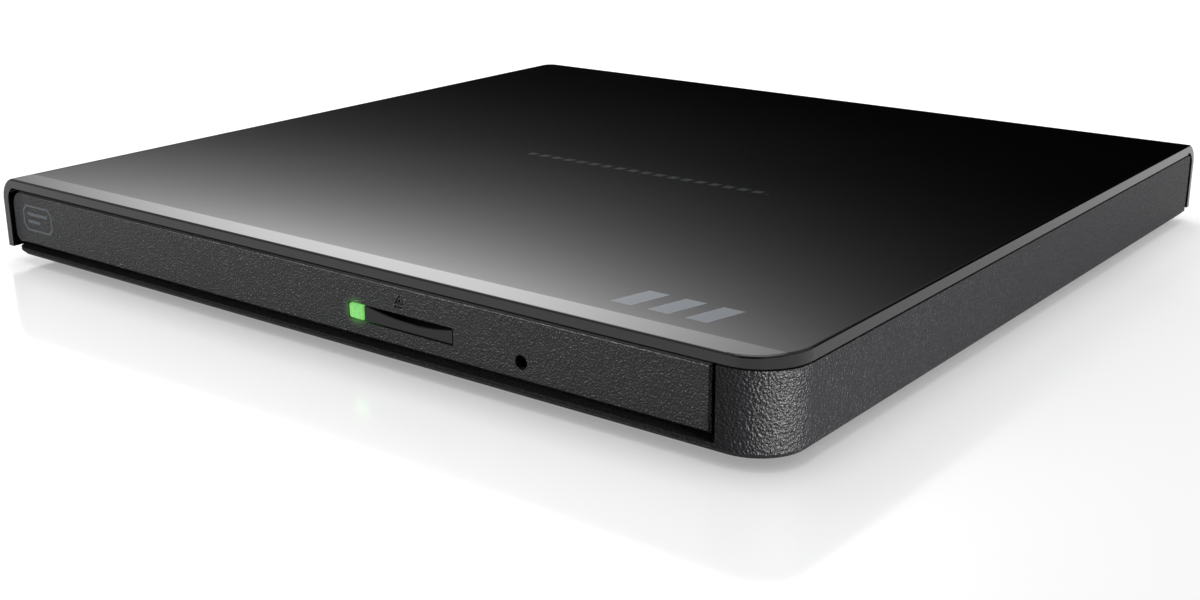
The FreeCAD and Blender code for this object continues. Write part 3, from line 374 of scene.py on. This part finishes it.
gold = brushed("gold_plate", (0.85, 0.62, 0.24), 0.22, (30, 1, 30))
film = amber_film()
casting = moulded("bead_blasted_casting", (0.33, 0.33, 0.34), 0.42, 1700.0, 0.00005, 0.85)
powder = moulded("powder_coat", (0.03, 0.03, 0.032), 0.5, 2200.0, 0.00006)
copper = wound_wire()
turned = brushed("turned_steel", (0.5, 0.5, 0.51), 0.3, (20, 20, 60))
ferrite = moulded("bonded_ferrite", (0.09, 0.09, 0.09), 0.6, 1500.0, 0.00004)
tacky = moulded("tacky_rubber", (0.06, 0.06, 0.062), 0.8, 2400.0, 0.00006)
acetal = moulded("acetal", (0.74, 0.74, 0.71), 0.36, 1100.0, 0.00001, vary=0.05)
lens_glass = clear_lens()
polymer = moulded("filled_polymer", (0.022, 0.022, 0.024), 0.5, 2000.0, 0.00004)

LOOKS = {
    cover_gloss: ["top_cover"],
    base_grain: ["base_case"],
    bezel_grain: ["front_bezel"],
    button_satin: ["eject_button"],
    rubber: ["rubber_feet", "traverse_dampers"],
    black_screw: ["case_screws", "drive_screws"],
    zinc: ["board_screws", "traverse_screws", "cover_plate_screws"],
    sheet: ["lower_housing", "upper_housing", "spindle_motor_base", "sled_motor", "solenoid_frame"],
    drawn: ["left_rail_guide", "right_rail_guide", "left_rail", "right_rail", "latch_post",
            "guide_rods", "spindle_shaft", "lead_screw", "solenoid_plunger"],
    tray_black: ["disc_tray"],
    board_mask: ["main_board", "front_board"],
    epoxy: ["controller_chip", "motor_driver_chip", "usb_port_tongue", "tact_switch"],
    tan: ["board_capacitors"],
    nylon: ["board_connector", "tray_connector", "ejector_barrel"],
    nickel: ["usb_port_shell"],
    gold: ["usb_port_contacts"],
    film: ["flex_cable"],
    casting: ["traverse_frame", "pickup_sled"],
    powder: ["traverse_cover", "pickup_cover"],
    copper: ["stator_coils", "solenoid_coil"],
    turned: ["stator_core", "spindle_rotor"],
    ferrite: ["rotor_magnet"],
    tacky: ["friction_ring"],
    acetal: ["hub_claw_1", "hub_claw_2", "hub_claw_3", "sled_nut", "latch_lever", "ejector_rod"],
    lens_glass: ["objective_lens"],
    polymer: ["turntable", "lens_holder"],
    lit_green(): ["light_pipe"],
}
for mat, names in LOOKS.items():
    for name in names:
        slots = nodes[name].material_slots
        if len(slots) == 0:
            nodes[name].data.materials.append(mat)
        for one in slots:
            one.material = mat


def soften(name, width, segments=3, angle=30.0):
    """Rounds a CAD node's sharp edges a little, so that they catch the light."""
    mod = nodes[name].modifiers.new("edge_round", "BEVEL")
    mod.width = width * MM
    mod.segments = segments
    mod.limit_method = "ANGLE"
    mod.angle_limit = math.radians(angle)
    mod.harden_normals = True


soften("base_case", 0.18)


# ---- marks on the bezel --------------------------------------------------------------------------
def flat_piece(name, outline, y_front, thick, mat, body, hole=None):
    """A thin flat piece facing the front: an outline in XZ with an optional hole, thick mm deep."""
    mesh = bpy.data.meshes.new(name)
    bm = bmesh.new()
    out = [bm.verts.new((x * MM, y_front * MM, z * MM)) for x, z in outline]
    if hole is None:
        bm.faces.new(out)
    else:
        inn = [bm.verts.new((x * MM, y_front * MM, z * MM)) for x, z in hole]
        for i in range(len(out)):
            j = (i + 1) % len(out)
            bm.faces.new((out[i], out[j], inn[j], inn[i]))
    grown = bmesh.ops.extrude_face_region(bm, geom=bm.faces[:])
    moved = [v for v in grown["geom"] if isinstance(v, bmesh.types.BMVert)]
    bmesh.ops.translate(bm, vec=(0, thick * MM, 0), verts=moved)
    bmesh.ops.recalc_face_normals(bm, faces=bm.faces[:])
    bm.to_mesh(mesh)
    bm.free()
    obj = bpy.data.objects.new(name, mesh)
    bpy.context.scene.collection.objects.link(obj)
    mesh.materials.append(mat)
    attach(obj, body)
    return obj


# in mm
PRINT_PROUD, PRINT_THICK = 0.02, 0.05
EMBLEM_X, EMBLEM_Z, EMBLEM_W, EMBLEM_H, EMBLEM_LINE = -67.6, 5.8, 7.6, 4.2, 0.3
OUTER_CUT, INNER_CUT, BAR_CUT = 0.9, 0.8, 0.15
BAR_SPANS, BAR_LOW, BAR_PITCH, BAR_HIGH = ((1.2, 6.4), (1.2, 4.4)), 2.5, 1.2, 0.5
SIGN_RIGHT, SIGN_UP = 9.3, 1.55
SIGN_HALF, SIGN_FOOT, SIGN_TIP, SIGN_THICK = 0.42, 0.24, 0.86, 0.1
face_y = bezel_low[1] / MM - PRINT_PROUD
print_grey = moulded("print_grey", (0.075, 0.095, 0.115), 0.45, 1800.0, 0.00001)


def frame_outline(x0, x1, z0, z1, corner):
    """A rectangle with cut corners, as points in XZ."""
    return [(x0 + corner, z0), (x1 - corner, z0), (x1, z0 + corner), (x1, z1 - corner),
            (x1 - corner, z1), (x0 + corner, z1), (x0, z1 - corner), (x0, z0 + corner)]


right, top, line = EMBLEM_X + EMBLEM_W, EMBLEM_Z + EMBLEM_H, EMBLEM_LINE
rim = frame_outline(EMBLEM_X, right, EMBLEM_Z, top, OUTER_CUT)
gap = frame_outline(EMBLEM_X + line, right - line, EMBLEM_Z + line, top - line, INNER_CUT)
marks = [flat_piece("emblem_frame", rim, face_y, PRINT_THICK, print_grey, "tray", gap)]
sign_x, sign_z = lamp_low[0] / MM + SIGN_RIGHT, lamp_high[2] / MM + SIGN_UP
sign_paint = moulded("sign_paint", (0.16, 0.17, 0.18), 0.45, 1800.0, 0.00001)
triangle = [(sign_x - SIGN_HALF, sign_z + SIGN_FOOT), (sign_x + SIGN_HALF, sign_z + SIGN_FOOT),
            (sign_x, sign_z + SIGN_TIP)]
marks.append(flat_piece("eject_sign_fill", triangle, face_y + PRINT_PROUD, SIGN_THICK,
                        sign_paint, "tray"))
for n, (begin, finish) in enumerate(BAR_SPANS):
    low = EMBLEM_Z + BAR_LOW - BAR_PITCH * n
    bar = frame_outline(EMBLEM_X + begin, EMBLEM_X + finish, low, low + BAR_HIGH, BAR_CUT)
    marks.append(flat_piece("emblem_bar_%d" % (n + 1), bar, face_y, PRINT_THICK, print_grey, "tray"))


# ---- flat cable ----------------------------------------------------------------------------------
# in mm: the cable's sides, the heights of its two runs, where it folds and rises, and its two plugs
CABLE_LEFT, CABLE_RIGHT = 24.2, 33.8
CABLE_LOW, CABLE_HIGH = 3.25, 3.88
FOLD_Y, RISE_Y = -61.7, 3.0
FLOOR_Y, BEND_Y, BOARD_PLUG_Y, BOARD_PLUG_Z = 11.6, 13.4, 17.2, 4.85
RISE_RUN, TRAY_PLUG_RUN, TRAY_PLUG_Z = 2.0, 4.6, 6.18
TURN_STEPS, RUN_STEPS = 6, 16


def ribbon(name, path):
    """A flat cable as a bare sheet: a path in YZ, as wide as the cable."""
    corners = [(x * MM, y * MM, z * MM) for y, z in path for x in (CABLE_LEFT, CABLE_RIGHT)]
    faces = [(2 * n, 2 * n + 1, 2 * n + 3, 2 * n + 2) for n in range(len(path) - 1)]
    mesh = bpy.data.meshes.new(name)
    mesh.from_pydata(corners, [], faces)
    mesh.materials.append(film)
    obj = bpy.data.objects.new(name, mesh)
    bpy.context.scene.collection.objects.link(obj)
    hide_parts("flex_cable")
    return obj


def folded_path():
    """Along the floor, round the fold, back under the tray and up to the tray's connector."""
    middle, radius = (CABLE_LOW + CABLE_HIGH) / 2, (CABLE_HIGH - CABLE_LOW) / 2
    turns = [math.pi * n / TURN_STEPS for n in range(TURN_STEPS + 1)]
    fold = [(FOLD_Y - radius * math.sin(a), middle - radius * math.cos(a)) for a in turns]
    run = [(FOLD_Y + (RISE_Y - FOLD_Y) * n / RUN_STEPS, CABLE_HIGH) for n in range(1, RUN_STEPS + 1)]
    plug = [(RISE_Y + RISE_RUN, TRAY_PLUG_Z), (RISE_Y + TRAY_PLUG_RUN, TRAY_PLUG_Z)]
    return [(FLOOR_Y, CABLE_LOW)] + fold + run + plug


board_end = [(BOARD_PLUG_Y, BOARD_PLUG_Z), (BEND_Y, BOARD_PLUG_Z), (FLOOR_Y, CABLE_LOW)]
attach(ribbon("flex_board_end", board_end), "case")
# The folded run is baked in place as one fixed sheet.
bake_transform(ribbon("flex_run", folded_path()))


# ---- floor, light and camera ---------------------------------------------------------------------
# lengths in metres
FLOOR_HALF = 3.0
FLOOR_SHEEN = 0.27
FLOOR_GLOW = 0.42
SHEEN_AT, SHEEN_NEAR, SHEEN_FAR = (0.03, -0.06, 0.0), 0.10, 0.19
SOFTBOX_EDGE, SOFTBOX_FALL = 2.534, 8.8
SOFTBOX_GLOW = 3.6
SOFTBOX_LEAN, SOFTBOX_SHIFT = -0.783, -0.34
SOFTBOX_LEFT, SOFTBOX_RIGHT = 0.443, 0.26
FRONT_LEVEL = 0.12
ROOM_LEVEL = 0.55
CAMERA_AT = (0.15252, -0.20562, 0.07248)
CAMERA_TURN, CAMERA_DIP, CAMERA_ROLL = -0.653, 0.3144, -0.0038
CAMERA_LENS, CAMERA_SENSOR = 47.4, 36.0


def studio_floor():
    """A white sheet, faintly lit from below, with a sheen by the object's front that fades away."""
    mesh = bpy.data.meshes.new("floor")
    half = FLOOR_HALF
    corners = [(-half, -half, 0), (half, -half, 0), (half, half, 0), (-half, half, 0)]
    mesh.from_pydata(corners, [], [(0, 1, 2, 3)])
    floor = bpy.data.objects.new("floor", mesh)
    bpy.context.scene.collection.objects.link(floor)
    mat = bpy.data.materials.new("pale_floor")
    mat.use_nodes = True
    tree = mat.node_tree
    tree.nodes.clear()
    where = place(tree)
    cloud = noise(tree, where, 6.0, 2.0)
    matt = add(tree, "ShaderNodeBsdfDiffuse")
    tree.links.new(mix_colour(tree, spread(tree, cloud, 0, 1), (0.89, 0.89, 0.892), (0.91, 0.91, 0.91)),
                   matt.inputs["Color"])
    sheen = add(tree, "ShaderNodeBsdfGlossy")
    tree.links.new(spread(tree, cloud, 0.10, 0.13), sheen.inputs["Roughness"])
    away = add(tree, "ShaderNodeVectorMath", operation="DISTANCE")
    away.inputs[1].default_value = SHEEN_AT
    tree.links.new(where, away.inputs[0])
    backlight = add(tree, "ShaderNodeEmission")
    backlight.inputs["Strength"].default_value = FLOOR_GLOW
    sheet = add(tree, "ShaderNodeAddShader")
    tree.links.new(matt.outputs[0], sheet.inputs[0])
    tree.links.new(backlight.outputs[0], sheet.inputs[1])
    both = add(tree, "ShaderNodeMixShader")
    share = spread(tree, away.outputs["Value"], FLOOR_SHEEN, 0.0, SHEEN_NEAR, SHEEN_FAR)
    tree.links.new(share, both.inputs[0])
    tree.links.new(sheet.outputs[0], both.inputs[1])
    tree.links.new(sheen.outputs[0], both.inputs[2])
    out = add(tree, "ShaderNodeOutputMaterial")
    tree.links.new(both.outputs[0], out.inputs["Surface"])
    mesh.materials.append(mat)


def studio_world():
    """A pale room for the cover to reflect: a softbox glows low on the left and a part behind is dark.

    That dark part is what a low camera in front of the object sees above the floor.
    """
    world = bpy.data.worlds.new("studio")
    bpy.context.scene.world = world
    world.use_nodes = True
    tree = world.node_tree
    tree.nodes.clear()
    out = tree.nodes.new("ShaderNodeOutputWorld")
    back = tree.nodes.new("ShaderNodeBackground")
    tree.links.new(back.outputs[0], out.inputs[0])
    split = add(tree, "ShaderNodeSeparateXYZ")
    tree.links.new(add(tree, "ShaderNodeTexCoord").outputs["Generated"], split.inputs[0])
    x, y, z = (split.outputs[i] for i in range(3))
    flat = sum_of(tree, sum_of(tree, x, x, "MULTIPLY"), sum_of(tree, y, y, "MULTIPLY"))
    flat = sum_of(tree, flat, 0.5, "POWER")
    turn = sum_of(tree, x, sum_of(tree, flat, 0.001, "MAXIMUM"), "DIVIDE")
    steep = sum_of(tree, z, 0.02, "MAXIMUM")
    across = sum_of(tree, x, steep, "DIVIDE")
    deep = sum_of(tree, sum_of(tree, y, steep, "DIVIDE"), 0.5, "MAXIMUM")
    # the softbox: fades as a power of the distance behind its edge, and to each side of its middle
    fade = sum_of(tree, sum_of(tree, SOFTBOX_EDGE, deep, "DIVIDE"), SOFTBOX_FALL, "POWER")
    fade = sum_of(tree, fade, SOFTBOX_GLOW, "MINIMUM")
    middle = sum_of(tree, sum_of(tree, deep, SOFTBOX_LEAN, "MULTIPLY"), SOFTBOX_SHIFT, "ADD")
    aside = sum_of(tree, sum_of(tree, across, middle, "SUBTRACT"), deep, "DIVIDE")
    sides = []
    for which, width in (("MINIMUM", SOFTBOX_LEFT), ("MAXIMUM", SOFTBOX_RIGHT)):
        reach = sum_of(tree, sum_of(tree, aside, 0.0, which), 1 / width, "MULTIPLY")
        sides.append(sum_of(tree, reach, 2.0, "POWER"))
    side = sum_of(tree, sum_of(tree, sum_of(tree, *sides), -0.5, "MULTIPLY"), 0.0, "EXPONENT")
    behind = spread(tree, y, 0.0, 1.0, 0.0, 0.1)
    softbox = sum_of(tree, sum_of(tree, fade, side, "MULTIPLY"), behind, "MULTIPLY")
    # the room: bright except in that dark part
    room = spread(tree, turn, 1.0, 0.0, -0.96, -0.88)
    for other in (spread(tree, turn, 0.0, 1.0, 0.45, 0.85), spread(tree, y, 1.0, 0.0, -0.15, 0.10),
                  spread(tree, z, 0.0, 1.0, 0.45, 0.62)):
        room = sum_of(tree, room, other, "MAXIMUM")
    # low down in front of the object it is dim too, for a dark streak beside the corner's highlight
    ahead = sum_of(tree, spread(tree, turn, 1.0, 0.0, -0.25, -0.05),
                   spread(tree, turn, 0.0, 1.0, 0.45, 0.70), "MAXIMUM")
    front = sum_of(tree, spread(tree, y, 0.0, 1.0, -0.5, -0.2), ahead, "MAXIMUM")
    front = sum_of(tree, front, spread(tree, z, 0.0, 1.0, 0.5, 0.8), "MAXIMUM")
    front = spread(tree, front, FRONT_LEVEL, 1.0, 0.0, 1.0)
    room = sum_of(tree, sum_of(tree, room, front, "MULTIPLY"), ROOM_LEVEL, "MULTIPLY")
    tree.links.new(sum_of(tree, room, softbox, "MAXIMUM"), back.inputs["Strength"])
    back.inputs["Color"].default_value = (1.0, 1.0, 1.0, 1.0)


def area_light(name, at, aim, size, power, size_y=None):
    data = bpy.data.lights.new(name, "AREA")
    data.energy = power
    data.size = size
    if size_y:
        data.shape = "RECTANGLE"
        data.size_y = size_y
    lamp = bpy.data.objects.new(name, data)
    lamp.location = at
    lamp.rotation_euler = (Vector(aim) - Vector(at)).to_track_quat("-Z", "Y").to_euler()
    bpy.context.scene.collection.objects.link(lamp)
    return lamp


def only_on(lamp, *names):
    """Keeps a lamp's light on these CAD nodes alone, and the lamp itself out of sight."""
    lit = bpy.data.collections.new(lamp.name + "_lights")
    for name in names:
        lit.objects.link(nodes[name])
    lamp.light_linking.receiver_collection = lit
    lamp.visible_camera = False


def photo_camera():
    """The photograph's viewpoint: low, in front and to the right, about 27 cm away."""
    turn, dip, roll = CAMERA_TURN, CAMERA_DIP, CAMERA_ROLL
    ahead = Vector((math.sin(turn) * math.cos(dip), math.cos(turn) * math.cos(dip), -math.sin(dip)))
    side = Vector((math.cos(turn), -math.sin(turn), 0.0))
    up = side.cross(ahead)
    right = math.cos(roll) * side + math.sin(roll) * up
    above = -math.sin(roll) * side + math.cos(roll) * up
    data = bpy.data.cameras.new("camera")
    data.lens = CAMERA_LENS
    data.sensor_width = CAMERA_SENSOR
    data.clip_start = 0.01
    data.dof.use_dof = False
    camera = bpy.data.objects.new("camera", data)
    bpy.context.scene.collection.objects.link(camera)
    pose = Matrix((right, above, -ahead)).transposed().to_4x4()
    pose.translation = Vector(CAMERA_AT)
    camera.matrix_world = pose
    bpy.context.scene.camera = camera


studio_floor()
studio_world()
area_light("top_softbox", at=(0.0, 0.05, 1.1), aim=(0.0, 0.0, 0.0), size=0.8, power=4.5)
corner_strip = area_light("corner_strip", at=(0.56, -0.165, 0.05), aim=(0.07, -0.065, 0.008),
                          size=0.13, power=60.0, size_y=0.10)
only_on(corner_strip, "base_case")
grain_light = area_light("grain_light", at=(-0.22, -0.42, 0.26), aim=(0.0, -0.068, 0.008),
                         size=0.10, power=3.6)
only_on(grain_light, "base_case", "front_bezel")
bpy.context.scene.view_settings.view_transform = "Standard"
photo_camera()
